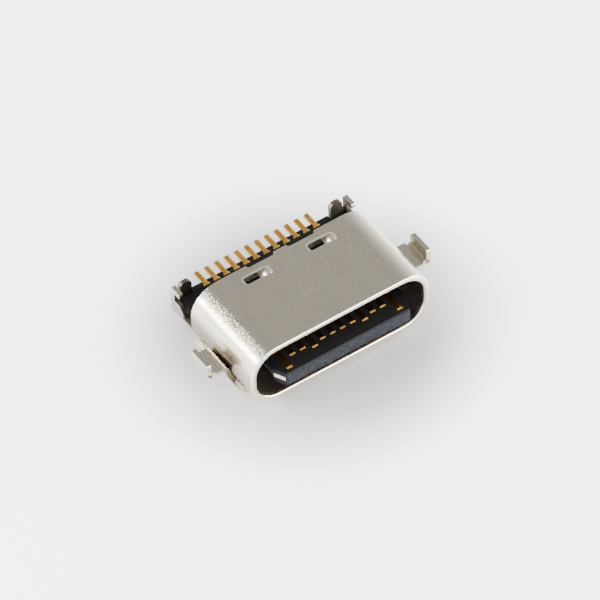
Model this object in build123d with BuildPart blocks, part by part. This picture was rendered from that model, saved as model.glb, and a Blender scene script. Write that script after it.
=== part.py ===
from build123d import *
import os

# Small reversible plug socket, lying on its flat underside.
# The origin is the centre of the plug mouth, in the plane of the rim.
# X runs along the mouth, Y runs from the mouth towards the tails, Z is up.

# Front shell, a rolled stainless tube
mouth_width = 8.34
mouth_height = 2.56
mouth_corner = 1.05
shell_wall = 0.30
shell_length = 4.45
lip_inner_round = 0.11
lip_outer_round = 0.08
seam_x = 0.40
seam_gap = 0.03
notch_near = 0.33
notch_width = 1.36
notch_depth = 0.14
notch_round = 0.12
window_x = 1.60
window_setback = 0.71
window_length = 1.22
window_width = 0.38
window_round = 0.12
tab_thickness = 0.12
tab_run = 0.44
tab_drop = 0.22

# Rear ears and solder legs of the shell
skirt_top = -0.45
skirt_length = 0.75
ear_bottom = -0.66
ear_top = 0.0
ear_length = 0.85
ear_sheet = 0.20
ear_inset = 0.06
leg_top = 0.66
leg_stem = 0.27
leg_hook_reach = 0.66
leg_hook_height = 0.23
leg_round = 0.10
rear_leg_inset = 0.35
rear_leg_width = 0.58

# Outer bracket, a cradle bent from thinner sheet
bracket_sheet = 0.20
bracket_gap = 0.05
bracket_front = 0.87
bracket_setback = 0.35
cradle_top = -0.92
wing_front = 1.53
wing_rear = 2.93
wing_top = -0.10
wing_span = 0.86
wing_bend = 0.16
flange_top = 0.47
flange_front = 1.60
flange_rear = 2.80
flange_round = 0.10
waist_radius = 0.10
weld_radius = 0.24
weld_depth = 0.04
weld_x = 2.30
weld_front = 1.60
weld_rear = 3.30

# Tongue and rear housing, black moulded plastic
tongue_width = 6.69
tongue_thickness = 0.70
tongue_tip = -0.60
tongue_taper_length = 0.62
tongue_taper_width = 0.30
tongue_nose_chamfer = 0.10
root_length = 0.80
root_width = 7.00
root_thickness = 1.20
plug_length = 0.50
block_length = 1.28
housing_top = 0.0
housing_play = 0.02
ledge_depth = 0.34
ledge_height = 0.57
ledge_play = 0.04

# Mid plate, terminal carriers and ground plates
plate_thickness = 0.20
plate_setback = 0.12
plate_tail = 0.05
carrier_setback = 0.17
carrier_margin = 0.22
ground_sheet = 0.10
ground_width = 6.60

# Contacts
contact_count = 12
contact_pitch = 0.50
contact_width = 0.26
contact_thickness = 0.12
signal_tip = 0.20
power_tip = 0.02
ground_tip = -0.33
bend_setback = 0.40
bend_end_setback = 0.03
tail_width = 0.21
tail_shoulder = 0.30
tail_shoulder_length = 0.17
upper_tail_level = -0.17
upper_tail_length = 0.95
lower_tail_level = -1.05
lower_tail_length = 0.57

shell_width = mouth_width + 2 * shell_wall
shell_height = mouth_height + 2 * shell_wall
shell_corner = mouth_corner + shell_wall
shell_top = shell_height / 2
tongue_face = tongue_thickness / 2
window_y = shell_length - window_setback
skirt_end = shell_length + skirt_length
ear_end = skirt_end + ear_length
housing_front = shell_length - plug_length
housing_rear = shell_length + block_length
root_front = housing_front - root_length
bend_start = shell_length - bend_setback
bend_end = shell_length - bend_end_setback
tail_shoulder_end = housing_rear + tail_shoulder_length
upper_tail_end = housing_rear + upper_tail_length
lower_tail_end = housing_rear + lower_tail_length
plate_rear = housing_front + plate_tail
bracket_rear = shell_length - bracket_setback


def section_at(y):
    """Plane that faces the mouth at depth y; extrude by a negative amount to go rearwards."""
    return Plane.XZ.offset(-y)


def tongue_outline(front, width, rear):
    """Plan outline of the tongue with its two tapered front corners, as a closed line."""
    taper_side = tongue_tip + tongue_taper_length
    taper_x = width / 2 - tongue_taper_width * (taper_side - front) / tongue_taper_length
    Polyline(
        (-width / 2, rear), (-width / 2, taper_side), (-taper_x, front),
        (taper_x, front), (width / 2, taper_side), (width / 2, rear), close=True,
    )


def contact_tip(position):
    """Ground contacts reach furthest forward, power contacts next, signals least."""
    if position in (1, 12):
        return ground_tip
    if position in (4, 9):
        return power_tip
    return signal_tip


def side_path(tip, face_level, tail_level, tail_end):
    """Centre line of a contact seen from the side: tongue face, joggle, tail."""
    Polyline(
        (tip, face_level), (bend_start, face_level),
        (bend_end, tail_level), (tail_end, tail_level),
    )


# One contact of each kind is cut from strip, then joggled down to its tail
def contact_part(position, side):
    """side is +1 for a contact on top of the tongue and -1 for one beneath it."""
    face_level = side * (tongue_face - contact_thickness / 2)
    tail_level = upper_tail_level if side > 0 else lower_tail_level
    tail_end = upper_tail_end if side > 0 else lower_tail_end
    x = side * (position - (contact_count + 1) / 2) * contact_pitch
    tip = contact_tip(position)
    with BuildPart() as contact:
        with BuildSketch(Plane.YZ.offset(x - tail_shoulder / 2)):
            with BuildLine():
                side_path(tip, face_level, tail_level, tail_end)
            trace(line_width=contact_thickness)
        extrude(amount=tail_shoulder)
        with BuildSketch(Plane.XY.offset(-shell_top)):
            with Locations((x, (tip + bend_end) / 2)):
                Rectangle(contact_width, bend_end - tip)
            with Locations((x, (bend_end + tail_shoulder_end) / 2)):
                Rectangle(tail_shoulder, tail_shoulder_end - bend_end)
            with Locations((x, (tail_shoulder_end + tail_end) / 2)):
                Rectangle(tail_width, tail_end - tail_shoulder_end)
        extrude(amount=shell_height, mode=Mode.INTERSECT)
    return contact.part


upper_contacts = {}
lower_contacts = {}
for position in range(1, contact_count + 1):
    upper_contacts[position] = contact_part(position, 1)
    lower_contacts[position] = contact_part(position, -1)

# Front shell: tube with rounded lip, seam, rear notches, lanced windows, skirt, ears and legs
with BuildPart() as front_shell:
    with BuildSketch(section_at(0)):
        RectangleRounded(shell_width, shell_height, shell_corner)
        RectangleRounded(mouth_width, mouth_height, mouth_corner, mode=Mode.SUBTRACT)
    extrude(amount=-shell_length)
    rim = front_shell.faces().sort_by(Axis.Y)[0]
    fillet(rim.outer_wire().edges(), lip_outer_round)
    rim = front_shell.faces().filter_by(Axis.Y).sort_by(Axis.Y)[0]
    fillet(rim.inner_wires()[0].edges(), lip_inner_round)
    # the lower half of the tube runs on behind the upper half as a skirt
    with BuildSketch(section_at(shell_length)):
        RectangleRounded(shell_width, shell_height, shell_corner)
        RectangleRounded(mouth_width, mouth_height, mouth_corner, mode=Mode.SUBTRACT)
        with Locations((0, (shell_top + skirt_top) / 2)):
            Rectangle(shell_width, shell_top - skirt_top, mode=Mode.SUBTRACT)
    extrude(amount=-(skirt_end - shell_length))
    # seam where the rolled strip closes, under the mouth
    with BuildSketch(Plane.XY.offset(-shell_top)):
        with Locations((seam_x, skirt_end / 2)):
            Rectangle(seam_gap, skirt_end)
    extrude(amount=shell_wall, mode=Mode.SUBTRACT)
    # two shallow notches in the rear edge and two windows, one each side of the middle
    with BuildSketch(Plane.XY.offset(shell_top - shell_wall)):
        for side in (-1, 1):
            with Locations((side * (notch_near + notch_width / 2), shell_length)):
                RectangleRounded(notch_width, 2 * notch_depth, notch_round)
            with Locations((side * window_x, window_y)):
                RectangleRounded(window_length, window_width, window_round)
    extrude(amount=shell_wall, mode=Mode.SUBTRACT)
    # the lanced tab of each window slopes down from its right-hand end
    with BuildSketch(section_at(window_y - window_width / 2)):
        for side in (-1, 1):
            hinge = side * window_x + window_length / 2
            with BuildLine():
                Polyline(
                    (hinge, shell_top), (hinge - tab_run, shell_top - tab_drop),
                    (hinge - tab_run, shell_top - tab_drop - tab_thickness),
                    (hinge, shell_top - tab_thickness), close=True,
                )
            make_face()
    extrude(amount=-window_width)
    # ears beside the housing, with a solder leg that hooks forwards
    ear_outer = shell_width / 2 - ear_inset
    rear_leg_far = ear_outer - rear_leg_inset
    rear_leg_near = rear_leg_far - rear_leg_width
    for side in (-1, 1):
        with BuildSketch(Plane.YZ.offset(side * ear_outer - (ear_sheet if side > 0 else 0))):
            with BuildLine():
                Polyline(
                    (skirt_end - ear_sheet, ear_bottom), (ear_end, ear_bottom), (ear_end, leg_top),
                    (ear_end - leg_hook_reach, leg_top),
                    (ear_end - leg_hook_reach, leg_top - leg_hook_height),
                    (ear_end - leg_stem, leg_top - leg_hook_height),
                    (ear_end - leg_stem, ear_top), (skirt_end + ear_sheet, ear_top),
                    (skirt_end - ear_sheet, skirt_top), close=True,
                )
            make_face()
            fillet(vertices().group_by(Axis.Y)[-1], leg_round)
            fillet(vertices().group_by(Axis.Y)[0].sort_by(Axis.X)[-1], 3 * leg_round)
        extrude(amount=ear_sheet)
        # the rear leg faces the back, one sheet inside the end of the ear
        with BuildSketch(section_at(ear_end - ear_sheet)):
            leg_middle = side * (rear_leg_near + rear_leg_width / 2)
            wall_reach = (rear_leg_near + ear_outer) / 2
            with Locations((side * wall_reach, (ear_bottom + ear_top) / 2)):
                Rectangle(ear_outer - rear_leg_near, ear_top - ear_bottom)
            with Locations((leg_middle, (leg_top + ear_top) / 2)):
                Rectangle(rear_leg_width, leg_top - ear_top)
            fillet(vertices().group_by(Axis.Y)[-1], rear_leg_width / 2 - leg_round / 2)
        extrude(amount=-ear_sheet)

# Outer bracket: cradle under the shell, with a wing and an upturned flange at each side
bracket_inner_width = shell_width + 2 * bracket_gap
bracket_outer_width = bracket_inner_width + 2 * bracket_sheet
bracket_inner_corner = shell_corner + bracket_gap
bracket_bottom = -shell_top - bracket_sheet
wall_middle = (bracket_inner_width + bracket_sheet) / 2
wing_middle = wing_top - bracket_sheet / 2
wing_reach = bracket_outer_width / 2 + wing_span


def bracket_section(top):
    """U section of the cradle up to the given height, touching the shell's flat underside."""
    RectangleRounded(bracket_outer_width, -2 * bracket_bottom, bracket_inner_corner + bracket_sheet)
    RectangleRounded(bracket_inner_width, shell_height, bracket_inner_corner, mode=Mode.SUBTRACT)
    with Locations((0, (top - bracket_bottom) / 2)):
        Rectangle(bracket_outer_width, -bracket_bottom - top, mode=Mode.SUBTRACT)


with BuildPart() as outer_bracket:
    with BuildSketch(section_at(bracket_front)):
        bracket_section(cradle_top)
    extrude(amount=-(bracket_rear - bracket_front))
    with BuildSketch(section_at(wing_front)):
        bracket_section(wing_middle - wing_bend)
    extrude(amount=-(wing_rear - wing_front))
    for side in (-1, 1):
        with BuildSketch(section_at(wing_front)):
            with BuildLine():
                FilletPolyline(
                    (side * wall_middle, wing_middle - 2 * wing_bend),
                    (side * wall_middle, wing_middle),
                    (side * (wing_reach - bracket_sheet / 2), wing_middle),
                    (side * (wing_reach - bracket_sheet / 2), flange_top),
                    radius=wing_bend,
                )
            trace(line_width=bracket_sheet)
        extrude(amount=-(wing_rear - wing_front))
    # the flange is a little shorter than the wing and has a waist at its bend
    for side in (-1, 1):
        with BuildSketch(Plane.XY.offset(bracket_bottom)):
            for end in (wing_front, wing_rear):
                with Locations((side * (wing_reach - bracket_sheet - waist_radius), end)):
                    Circle(waist_radius)
        extrude(amount=flange_top - bracket_bottom, mode=Mode.SUBTRACT)
        with BuildSketch(Plane.XY.offset(wing_middle)):
            for end, edge in ((wing_front, flange_front), (wing_rear, flange_rear)):
                with Locations((side * (wing_reach - bracket_sheet), (end + edge) / 2)):
                    Rectangle(2 * bracket_sheet, abs(end - edge))
        extrude(amount=flange_top - wing_middle, mode=Mode.SUBTRACT)
    fillet(outer_bracket.edges().filter_by(Axis.X).group_by(Axis.Z)[-1], flange_round)
    # shallow spots where the bracket is welded to the shell
    with BuildSketch(Plane.XY.offset(bracket_bottom)):
        with Locations((0, (weld_front + weld_rear) / 2)):
            with GridLocations(2 * weld_x, weld_rear - weld_front, 2, 2):
                Circle(weld_radius)
    extrude(amount=weld_depth, mode=Mode.SUBTRACT)

# Mid plate: flat steel core of the tongue, whose edges show along the tongue's sides
with BuildPart() as mid_plate:
    with BuildSketch(Plane.XY.offset(-plate_thickness / 2)):
        with BuildLine():
            tongue_outline(tongue_tip + plate_setback, tongue_width, plate_rear)
        make_face()
    extrude(amount=plate_thickness)

# Terminal carriers: slabs moulded round each row of contacts, above and below the mid plate
carrier_front = tongue_tip + carrier_setback
carrier_width = tongue_width - 2 * (carrier_margin + tongue_taper_width)
carrier_height = tongue_face - plate_thickness / 2
with BuildPart() as upper_terminal_carrier:
    with BuildSketch(Plane.XY.offset(plate_thickness / 2)):
        with Locations((0, (carrier_front + bend_start) / 2)):
            Rectangle(carrier_width, bend_start - carrier_front)
    extrude(amount=carrier_height)
    for contact in upper_contacts.values():
        add(contact, mode=Mode.SUBTRACT)
with BuildPart() as lower_terminal_carrier:
    with BuildSketch(Plane.XY.offset(-plate_thickness / 2)):
        with Locations((0, (carrier_front + bend_start) / 2)):
            Rectangle(carrier_width, bend_start - carrier_front)
    extrude(amount=-carrier_height)
    for contact in lower_contacts.values():
        add(contact, mode=Mode.SUBTRACT)

# Ground plates: thin stamped covers over the thick root of the tongue
ground_face = root_thickness / 2


def ground_plate_section(side):
    """Side view of a ground plate: flat on the root, with a lip down to the tongue."""
    outer = side * (ground_face + ground_sheet)
    inner = side * ground_face
    Polyline(
        (housing_front, inner), (housing_front, outer), (root_front - ground_sheet, outer),
        (root_front - ground_sheet, side * tongue_face), (root_front, side * tongue_face),
        (root_front, inner), close=True,
    )


with BuildPart() as upper_ground_plate:
    with BuildSketch(Plane.YZ.offset(-ground_width / 2)):
        with BuildLine():
            ground_plate_section(1)
        make_face()
    extrude(amount=ground_width)
with BuildPart() as lower_ground_plate:
    with BuildSketch(Plane.YZ.offset(-ground_width / 2)):
        with BuildLine():
            ground_plate_section(-1)
        make_face()
    extrude(amount=ground_width)

# Tongue housing: tongue, its thick root and the rear block in one moulding
with BuildPart() as tongue_housing:
    with BuildSketch(Plane.XY.offset(-tongue_face)):
        with BuildLine():
            tongue_outline(tongue_tip, tongue_width, housing_front)
        make_face()
    extrude(amount=tongue_thickness)
    nose = tongue_housing.edges().filter_by(Axis.X).group_by(Axis.Y)[0]
    chamfer(nose, tongue_nose_chamfer)
    with BuildSketch(section_at(root_front)):
        Rectangle(root_width, root_thickness)
    extrude(amount=-(housing_front - root_front))
    plug_width = mouth_width - 2 * housing_play
    plug_height = mouth_height - 2 * housing_play
    with BuildSketch(section_at(housing_front)):
        RectangleRounded(plug_width, plug_height, mouth_corner - housing_play)
    extrude(amount=-(shell_length - housing_front))
    with BuildSketch(section_at(shell_length)):
        RectangleRounded(plug_width, plug_height, mouth_corner - housing_play)
        with Locations((0, plug_height / 4 + housing_top)):
            Rectangle(plug_width, plug_height / 2, mode=Mode.SUBTRACT)
    extrude(amount=-block_length)
    # ledge between the rear legs, with a groove for each tail
    tail_top = upper_tail_level + contact_thickness / 2
    with BuildSketch(section_at(housing_rear)):
        with Locations((0, tail_top - ledge_height / 2)):
            Rectangle(2 * (rear_leg_near - ledge_play), ledge_height)
    extrude(amount=-ledge_depth)
    add(mid_plate.part, mode=Mode.SUBTRACT)
    add(upper_terminal_carrier.part, mode=Mode.SUBTRACT)
    add(lower_terminal_carrier.part, mode=Mode.SUBTRACT)
    for contact in list(upper_contacts.values()) + list(lower_contacts.values()):
        add(contact, mode=Mode.SUBTRACT)

front_shell.part.label = "front_shell"
outer_bracket.part.label = "outer_bracket"
tongue_housing.part.label = "tongue_housing"
mid_plate.part.label = "mid_plate"
upper_terminal_carrier.part.label = "upper_terminal_carrier"
lower_terminal_carrier.part.label = "lower_terminal_carrier"
upper_ground_plate.part.label = "upper_ground_plate"
lower_ground_plate.part.label = "lower_ground_plate"

os.makedirs("parts", exist_ok=True)
export_step(front_shell.part, "parts/front_shell.step")
export_step(outer_bracket.part, "parts/outer_bracket.step")
export_step(tongue_housing.part, "parts/tongue_housing.step")
export_step(mid_plate.part, "parts/mid_plate.step")
export_step(upper_terminal_carrier.part, "parts/upper_terminal_carrier.step")
export_step(lower_terminal_carrier.part, "parts/lower_terminal_carrier.step")
export_step(upper_ground_plate.part, "parts/upper_ground_plate.step")
export_step(lower_ground_plate.part, "parts/lower_ground_plate.step")
for row, contacts in (("upper", upper_contacts), ("lower", lower_contacts)):
    for position, contact in contacts.items():
        contact.label = f"{row}_contact_{position:02d}"
        export_step(contact, f"parts/{contact.label}.step")
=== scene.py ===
import math

import bpy
from mathutils import Matrix, Vector


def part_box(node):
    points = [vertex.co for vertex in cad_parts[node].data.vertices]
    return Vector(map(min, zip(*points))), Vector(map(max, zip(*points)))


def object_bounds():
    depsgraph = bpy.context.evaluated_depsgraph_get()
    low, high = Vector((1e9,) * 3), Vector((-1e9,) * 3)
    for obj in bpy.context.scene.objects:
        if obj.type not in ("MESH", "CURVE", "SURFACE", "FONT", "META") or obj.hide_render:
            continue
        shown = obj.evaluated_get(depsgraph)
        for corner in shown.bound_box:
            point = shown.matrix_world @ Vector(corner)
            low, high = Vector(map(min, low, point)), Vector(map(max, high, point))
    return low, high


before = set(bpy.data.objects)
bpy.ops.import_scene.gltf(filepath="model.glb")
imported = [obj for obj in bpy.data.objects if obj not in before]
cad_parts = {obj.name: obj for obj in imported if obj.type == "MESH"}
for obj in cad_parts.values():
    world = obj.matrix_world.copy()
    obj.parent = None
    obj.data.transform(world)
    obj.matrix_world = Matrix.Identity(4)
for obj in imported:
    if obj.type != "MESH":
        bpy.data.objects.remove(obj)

cad_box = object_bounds()
MM = 0.001

# The camera looks down on the mouth from the front left, from far off with a long lens,
# so the picture is almost without perspective, as in the photograph of the loose part.
image_width = 600
pixels_per_mm = 24.266
camera_azimuth = math.radians(-32.343)
camera_elevation = math.radians(48.472)
camera_roll = math.radians(-2.562)
mouth_pixel_x = 341.32
mouth_pixel_y = 339.14
camera_distance = 0.5
sensor_width = 36.0

level_right = Vector((math.cos(camera_azimuth), math.sin(camera_azimuth), 0))
back = Vector((
    math.sin(camera_azimuth) * math.cos(camera_elevation),
    -math.cos(camera_azimuth) * math.cos(camera_elevation),
    math.sin(camera_elevation),
))
level_up = back.cross(level_right)
right = math.cos(camera_roll) * level_right + math.sin(camera_roll) * level_up
up = back.cross(right)
middle_right = (image_width / 2 - mouth_pixel_x) / pixels_per_mm * MM
middle_up = (mouth_pixel_y - image_width / 2) / pixels_per_mm * MM
eye = right * middle_right + up * middle_up + back * camera_distance
camera_data = bpy.data.cameras.new("camera")
camera_data.sensor_width = sensor_width
camera_data.lens = sensor_width * camera_distance / (image_width / pixels_per_mm * MM)
camera_data.clip_start = camera_distance / 10
camera = bpy.data.objects.new("camera", camera_data)
camera.matrix_world = Matrix.Translation(eye) @ Matrix((right, up, back)).transposed().to_4x4()
bpy.context.scene.collection.objects.link(camera)
bpy.context.scene.camera = camera


# The front shell is a tube rolled from stainless strip to a butt seam and plated with nickel.
# Its flat faces keep a fine satin grain, the rim is tumbled smoother and lightened by a painted
# highlight, and stretching has left a band of coarse orange peel on the side bends, fainter on
# the right one. Painted shade darkens the inner faces inside the mouth and the lower side walls.
class Field:
    """A quantity that varies over a surface, with arithmetic that adds its Math nodes."""

    def __init__(self, tree, socket):
        self.tree = tree
        self.socket = socket

    def node(self, kind, settings, inputs, output=0):
        """Add a node: its settings first, then its input values or links."""
        made = self.tree.nodes.new(kind)
        for name, value in settings.items():
            setattr(made, name, value)
        for name, value in inputs.items():
            if isinstance(value, Field):
                self.tree.links.new(value.socket, made.inputs[name])
            else:
                made.inputs[name].default_value = value
        return Field(self.tree, made.outputs[output])

    def math(self, operation, *values):
        return self.node("ShaderNodeMath", {"operation": operation}, dict(enumerate(values)))

    def __add__(self, other):
        return self.math("ADD", self, other)

    def __radd__(self, other):
        return self.math("ADD", other, self)

    def __sub__(self, other):
        return self.math("SUBTRACT", self, other)

    def __rsub__(self, other):
        return self.math("SUBTRACT", other, self)

    def __mul__(self, other):
        return self.math("MULTIPLY", self, other)

    def __rmul__(self, other):
        return self.math("MULTIPLY", other, self)

    def size(self):
        return self.math("ABSOLUTE", self)

    def at_least(self, least):
        return self.math("MAXIMUM", self, least)

    def diagonal(self, other):
        """Straight distance covered by this and another distance at right angles to it."""
        return self.math("SQRT", self * self + other * other)

    def rises(self, low, high):
        """0 below the first value and 1 above the second, with a smooth change between."""
        return self.node(
            "ShaderNodeMapRange", {"interpolation_type": "SMOOTHSTEP"},
            {"Value": self, "From Min": low, "From Max": high},
        )

    def blend(self, first, second):
        """The first colour where this is 0 and the second where it is 1."""
        return self.node("ShaderNodeMix", {"data_type": "RGBA"}, {0: self, 6: first, 7: second}, output=2)

    def colours(self, dark, light):
        """The same for two plain colours, given as red, green and blue."""
        return self.blend((*dark, 1), (*light, 1))


class Finish:
    """A material under construction, with the place on the object in millimetres."""

    def __init__(self, name):
        self.material = bpy.data.materials.new(name)
        self.material.use_nodes = True
        self.tree = self.material.node_tree
        self.shader = self.tree.nodes["Principled BSDF"]
        start = Field(self.tree, None)
        self.position = start.node("ShaderNodeTexCoord", {}, {}, output="Object")
        self.place = start.node(
            "ShaderNodeVectorMath", {"operation": "SCALE"}, {0: self.position, "Scale": 1 / MM}
        )
        self.x, self.y, self.z = (
            start.node("ShaderNodeSeparateXYZ", {}, {"Vector": self.place}, output=axis)
            for axis in range(3)
        )

    def noise(self, per_mm, detail=3.0, stretch=(1, 1, 1)):
        """Soft random pattern with about this many blobs to the millimetre, from 0 to 1."""
        stretched = self.place.node(
            "ShaderNodeVectorMath", {"operation": "MULTIPLY"}, {0: self.place, 1: stretch}
        )
        return self.place.node(
            "ShaderNodeTexNoise", {}, {"Vector": stretched, "Scale": per_mm, "Detail": detail}
        )

    def set(self, **values):
        """Give sockets of the shader their values; an underscore stands for a space."""
        for name, value in values.items():
            socket = self.shader.inputs[name.replace("_", " ")]
            if isinstance(value, Field):
                self.tree.links.new(value.socket, socket)
            else:
                socket.default_value = value

    def relief(self, height):
        """Bump the surface by a height in millimetres."""
        return self.place.node(
            "ShaderNodeBump", {}, {"Height": height * MM, "Distance": 1.0, "Strength": 1.0}
        )

    def coat(self, *nodes):
        """Put this finish on CAD nodes."""
        for name in nodes:
            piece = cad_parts[name]
            piece.data.materials.clear()
            piece.data.materials.append(self.material)


dark_nickel = (0.12, 0.10, 0.085)
bright_nickel = (0.90, 0.82, 0.67)
satin_depth = 0.001
shell_bend_x = 3.80
middle_blend = 0.50
peel_half_width = 0.30
peel_core = 0.3
peel_raggedness = 0.30
peel_start_z = 0.70
peel_full_z = 1.00
peel_on_right = 0.25
peel_depth = 0.012
rim_edge = 0.03
rim_width = 0.12
window_x = 1.60
window_y = 3.74
window_half_length = 0.61
window_half_width = 0.19
window_round = 0.12
burr_width = 0.09
burr_height = 0.039
burr_start_z = 1.40
burr_full_z = 1.50
corner_centre_x = 3.12
corner_centre_z = 0.23
wall_middle_radius = 1.20
face_blend = 0.05
inside_start_y = 0.04
inside_full_y = 0.30
side_start_x = 3.80
side_full_x = 4.30
side_start_y = 0.30
side_full_y = 1.60
side_full_z = -0.10
side_top_z = 0.90

shell = Finish("nickel_shell")
off_centre = shell.x.size()
grain = shell.noise(15.0, detail=4.0)
clouds = shell.noise(0.9, detail=2.0)
peel = shell.noise(13.0, detail=3.0).rises(0.36, 0.64)

ragged_shift = peel_raggedness * (shell.noise(4.0, detail=3.0) - 0.5)
across_bend = (off_centre - shell_bend_x + ragged_shift).size()
on_bend = 1 - across_bend.rises(peel_core * peel_half_width, peel_half_width)
on_bend = on_bend * shell.z.rises(peel_start_z, peel_full_z)
left_side = 1 - shell.x.rises(-middle_blend, middle_blend)
peel = peel * on_bend * (peel_on_right + (1 - peel_on_right) * left_side)

past_window_end = (off_centre - window_x).size() - (window_half_length - window_round)
past_window_side = (shell.y - window_y).size() - (window_half_width - window_round)
from_window = past_window_end.at_least(0).diagonal(past_window_side.at_least(0)) - window_round
burr = (1 - from_window.rises(0.0, burr_width)) * shell.z.rises(burr_start_z, burr_full_z)

past_corner_x = (off_centre - corner_centre_x).at_least(0)
past_corner_z = (shell.z.size() - corner_centre_z).at_least(0)
corner_reach = past_corner_x.diagonal(past_corner_z)
inner_face = 1 - corner_reach.rises(wall_middle_radius - face_blend, wall_middle_radius)
# Painted shade: the inner faces inside the mouth, behind the rim and clear of the window, are darkened
# almost to black.
shaded_inside = inner_face * shell.y.rises(inside_start_y, inside_full_y)
shaded_inside = shaded_inside * from_window.rises(0.0, face_blend)

# The rim is smoother, and its lighter colour is a painted highlight.
rim_polish_and_highlight = 1 - shell.y.rises(rim_edge, rim_width)
# Painted shade: the outer side walls are darker low down and further back from the rim.
low_down = 1 - shell.z.rises(side_full_z, side_top_z)
far_out = off_centre.rises(side_start_x, side_full_x)
painted_side_shade = low_down * far_out * shell.y.rises(side_start_y, side_full_y)
shell_tone = 0.30 + 0.14 * clouds + 0.46 * grain - 0.35 * peel + 0.45 * rim_polish_and_highlight - 0.30 * painted_side_shade
shell.set(
    Base_Color=(shell_tone * (1 - 0.97 * shaded_inside)).colours(dark_nickel, bright_nickel),
    Metallic=1.0,
    Roughness=0.24 + 0.12 * grain - 0.10 * rim_polish_and_highlight + 0.20 * shaded_inside,
    Normal=shell.relief(satin_depth * grain + peel_depth * peel + burr_height * burr),
)
shell.coat("front_shell")

# The outer bracket is stamped from thinner nickel-plated strip and bent into a cradle with a
# wing at each side. The strip keeps its satin grain and faint drawing lines.
bracket_grain_depth = 0.0016
drawing_line_depth = 0.0024

bracket = Finish("nickel_bracket")
bracket_grain = bracket.noise(16.0, detail=4.0)
drawing_lines = bracket.noise(6.0, detail=3.0, stretch=(0.3, 4.0, 1.0))
bracket_tone = 0.5 * bracket_grain + 0.5 * drawing_lines
bracket.set(
    Base_Color=bracket_tone.colours((0.44, 0.40, 0.32), (0.76, 0.69, 0.57)),
    Metallic=1.0,
    Roughness=0.2 + 0.14 * bracket_grain,
    Normal=bracket.relief(bracket_grain_depth * bracket_grain + drawing_line_depth * drawing_lines),
)
bracket.coat("outer_bracket")

# The tongue, its root and the rear block are one moulding in black liquid-crystal polymer,
# with a fine spark-eroded grain and faint flow lines. The tongue's nose is painted greyer and bluer, a
# painted sheen on its front end.
nose_start = -0.50
nose_full = -0.56
moulding_grain_depth = 0.003

moulding = Finish("black_moulding")
moulded_grain = moulding.noise(16.0, detail=4.0)
flow_lines = moulding.noise(2.0, detail=3.0, stretch=(0.4, 2.5, 1.0))
nose = 1 - moulding.y.rises(nose_full, nose_start)
moulding_tone = 0.7 * moulded_grain + 0.3 * flow_lines
body_black = moulding_tone.colours((0.001, 0.001, 0.001), (0.012, 0.012, 0.013))
# Painted sheen: the nose is lighter, greyer and bluer than the body.
painted_nose_sheen = moulded_grain.rises(0.3, 0.7).colours((0.005, 0.0055, 0.007), (0.024, 0.026, 0.033))
moulding.set(
    Base_Color=nose.blend(body_black, painted_nose_sheen),
    Roughness=0.5 + 0.2 * moulded_grain,
    Specular_IOR_Level=0.12,
    Normal=moulding.relief(moulding_grain_depth * moulded_grain),
)
moulding.coat("tongue_housing")

# The two terminal carriers are slabs of the same polymer with a finer grain. They are
# moulded round the contacts first and carry them inside the moulding.
carrier_grain_depth = 0.006

carrier = Finish("black_carrier")
carrier_grain = carrier.noise(34.0, detail=4.0)
carrier.set(
    Base_Color=carrier_grain.colours((0.003, 0.003, 0.003), (0.014, 0.013, 0.013)),
    Roughness=0.5 + 0.2 * carrier_grain,
    Specular_IOR_Level=0.12,
    Normal=carrier.relief(carrier_grain_depth * carrier_grain),
)
carrier.coat("upper_terminal_carrier", "lower_terminal_carrier")

# The mid plate and the two ground plates are blanked from bright stainless sheet, which
# keeps its rolling lines. The mid plate's edge shows at the tongue's corners.
rolling_line_depth = 0.003

plate = Finish("steel_plate")
rolling = plate.noise(10.0, detail=3.0, stretch=(0.2, 3.0, 1.0))
plate.set(
    Base_Color=rolling.colours((0.60, 0.60, 0.60), (0.80, 0.79, 0.77)),
    Metallic=1.0,
    Roughness=0.22 + 0.16 * rolling,
    Normal=plate.relief(rolling_line_depth * rolling),
)
plate.coat("mid_plate", "upper_ground_plate", "lower_ground_plate")

# The contacts are blanked from copper alloy strip and plated with gold. Each has a bright tip
# rolled over at its front end and a crowned tail behind the moulding; the flat face between
# is darkened with painted shade, by a given amount for each kind. Ground and power contacts reach further
# forward.
contacts_per_row = 12
contact_pitch = 0.50
ground_places = (1, 12)
power_places = (4, 9)
dark_gold = (0.07, 0.035, 0.015)
bright_gold = (1.0, 0.52, 0.085)
tip_length = 0.10
tip_blend = 0.15
tip_lead = 0.02
tip_drop = 0.06
tail_start = 5.0
tail_rise = 0.10
crown_height = 0.08
strip_line_depth = 0.0048


def gold_finish(name, like_contact, painted_shade_amount):
    """Gold for the contacts whose tips are level with the given one."""
    gold = Finish(name)
    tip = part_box(like_contact)[0][1] / MM
    strip_lines = gold.noise(14.0, detail=3.0, stretch=(3.0, 0.25, 1.0))
    plating = gold.noise(3.0, detail=2.0)
    tail = gold.y.rises(tail_start, tail_start + tail_rise)
    past_tip = gold.y.rises(tip + (1 - tip_blend) * tip_length, tip + (1 + tip_blend) * tip_length)
    # Painted shade: the flat face between the tip and the tail is darkened.
    shaded_flat_face = past_tip * (1 - tail)
    shine = 0.55 + 0.45 * strip_lines.rises(0.35, 0.65) * plating.rises(0.2, 0.7)
    rolled_over = gold.y.rises(tip - tip_lead, tip + tip_length)
    half_pitch = contact_pitch / 2
    past_gap = gold.x + half_pitch
    off_middle = past_gap.math("PINGPONG", past_gap, half_pitch)
    crown = (1 - off_middle * off_middle * (1 / half_pitch ** 2)) * tail
    gold.set(
        Base_Color=(shine * (1 - painted_shade_amount * shaded_flat_face)).colours(dark_gold, bright_gold),
        Metallic=1.0,
        Roughness=0.24 + 0.16 * strip_lines,
        Normal=gold.relief(strip_line_depth * strip_lines + tip_drop * rolled_over + crown_height * crown),
    )
    return gold


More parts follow.
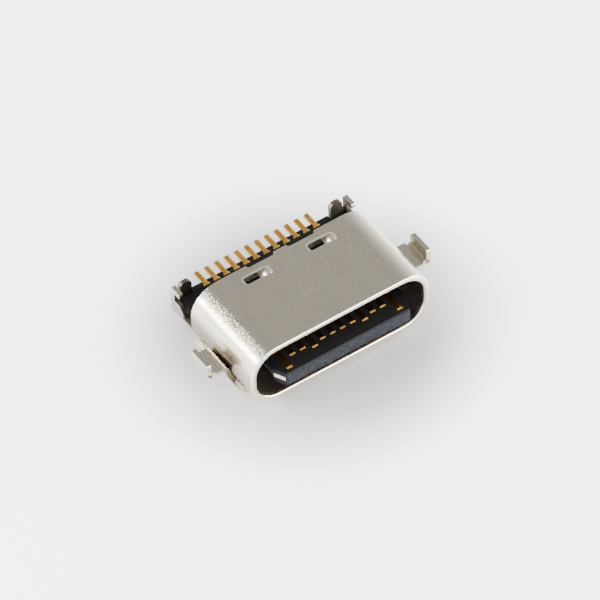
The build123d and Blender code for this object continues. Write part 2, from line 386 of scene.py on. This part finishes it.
# The last number is how far painted shade darkens each kind's flat face.
signal_gold = gold_finish("signal_gold", "upper_contact_02", 0.87)
power_gold = gold_finish("power_gold", "upper_contact_04", 0.82)
ground_gold = gold_finish("ground_gold", "upper_contact_01", 0.74)
for row in ("upper", "lower"):
    for position in range(1, contacts_per_row + 1):
        plated = signal_gold
        if position in ground_places:
            plated = ground_gold
        if position in power_places:
            plated = power_gold
        plated.coat(f"{row}_contact_{position:02d}")

# The socket lies on a plain pale sheet that glows, though it is no lamp, more strongly further out, with
# painted shade round the socket, so it is whiter further out.
# Soft boxes stand at the left, in front and at the right.
floor_half = 0.4
socket_middle_y = 2.5
shaded_radius = 4.5
white_radius = 9.0
glow_radius = 10.0
floor_mesh = bpy.data.meshes.new("floor")
floor_gap = 0.02 * MM
floor_level = cad_box[0][2] - floor_gap
floor_mesh.from_pydata(
    [
        (-floor_half, -floor_half, floor_level), (floor_half, -floor_half, floor_level),
        (floor_half, floor_half, floor_level), (-floor_half, floor_half, floor_level),
    ],
    [], [(0, 1, 2, 3)],
)
floor = bpy.data.objects.new("floor", floor_mesh)
bpy.context.scene.collection.objects.link(floor)
paper = Finish("pale_sheet")
from_middle = paper.x.diagonal(paper.y - socket_middle_y)
# Painted glow: the sheet glows, faintly near the socket and strongly further out.
painted_floor_glow = from_middle.rises(shaded_radius, glow_radius).colours((0.05, 0.05, 0.05), (3.0, 3.0, 3.0))
# Painted shade: the sheet is greyer round the socket, with a faint random mottle.
paper_mottle_and_painted_shade = 0.1 * paper.noise(0.05, detail=2.0) + from_middle.rises(shaded_radius, white_radius)
paper.set(
    Base_Color=paper_mottle_and_painted_shade.colours((0.66, 0.66, 0.66), (0.93, 0.93, 0.93)),
    Roughness=0.9,
    Emission_Color=painted_floor_glow,
    Emission_Strength=1.0,
)
floor_mesh.materials.append(paper.material)


def soft_box(name, position_mm, size_mm, power):
    """A rectangular area light aimed at the middle of the socket."""
    light = bpy.data.lights.new(name, "AREA")
    light.shape = "RECTANGLE"
    light.size = size_mm[0] * MM
    light.size_y = size_mm[1] * MM
    light.energy = power
    lamp = bpy.data.objects.new(name, light)
    lamp.location = Vector(position_mm) * MM
    target = Vector((0, socket_middle_y, 0)) * MM
    lamp.rotation_euler = (target - lamp.location).to_track_quat("-Z", "Y").to_euler()
    bpy.context.scene.collection.objects.link(lamp)


soft_box("left_soft_box", (-75, 35, 36), (60, 24), 0.19)
soft_box("front_soft_box", (35, -90, 24), (90, 40), 0.21)
soft_box("right_soft_box", (90, -20, 30), (50, 50), 0.14)

# The sky round the socket is bright low down and grey overhead, as in a light tent with a
# grey top, so metal that faces up looks warm grey and edges that face outward look white.
world = bpy.data.worlds.new("surround")
world.use_nodes = True
tent = world.node_tree
tent_place = Field(tent, None).node("ShaderNodeTexCoord", {}, {}, output="Generated")
height = tent_place.node("ShaderNodeSeparateXYZ", {}, {"Vector": tent_place}, output=2)
overhead = height.rises(0.15, 0.7)
sky = overhead.colours((2.0, 2.0, 2.0), (0.56, 0.56, 0.55))
tent.links.new(sky.socket, tent.nodes["Background"].inputs["Color"])
bpy.context.scene.world = world
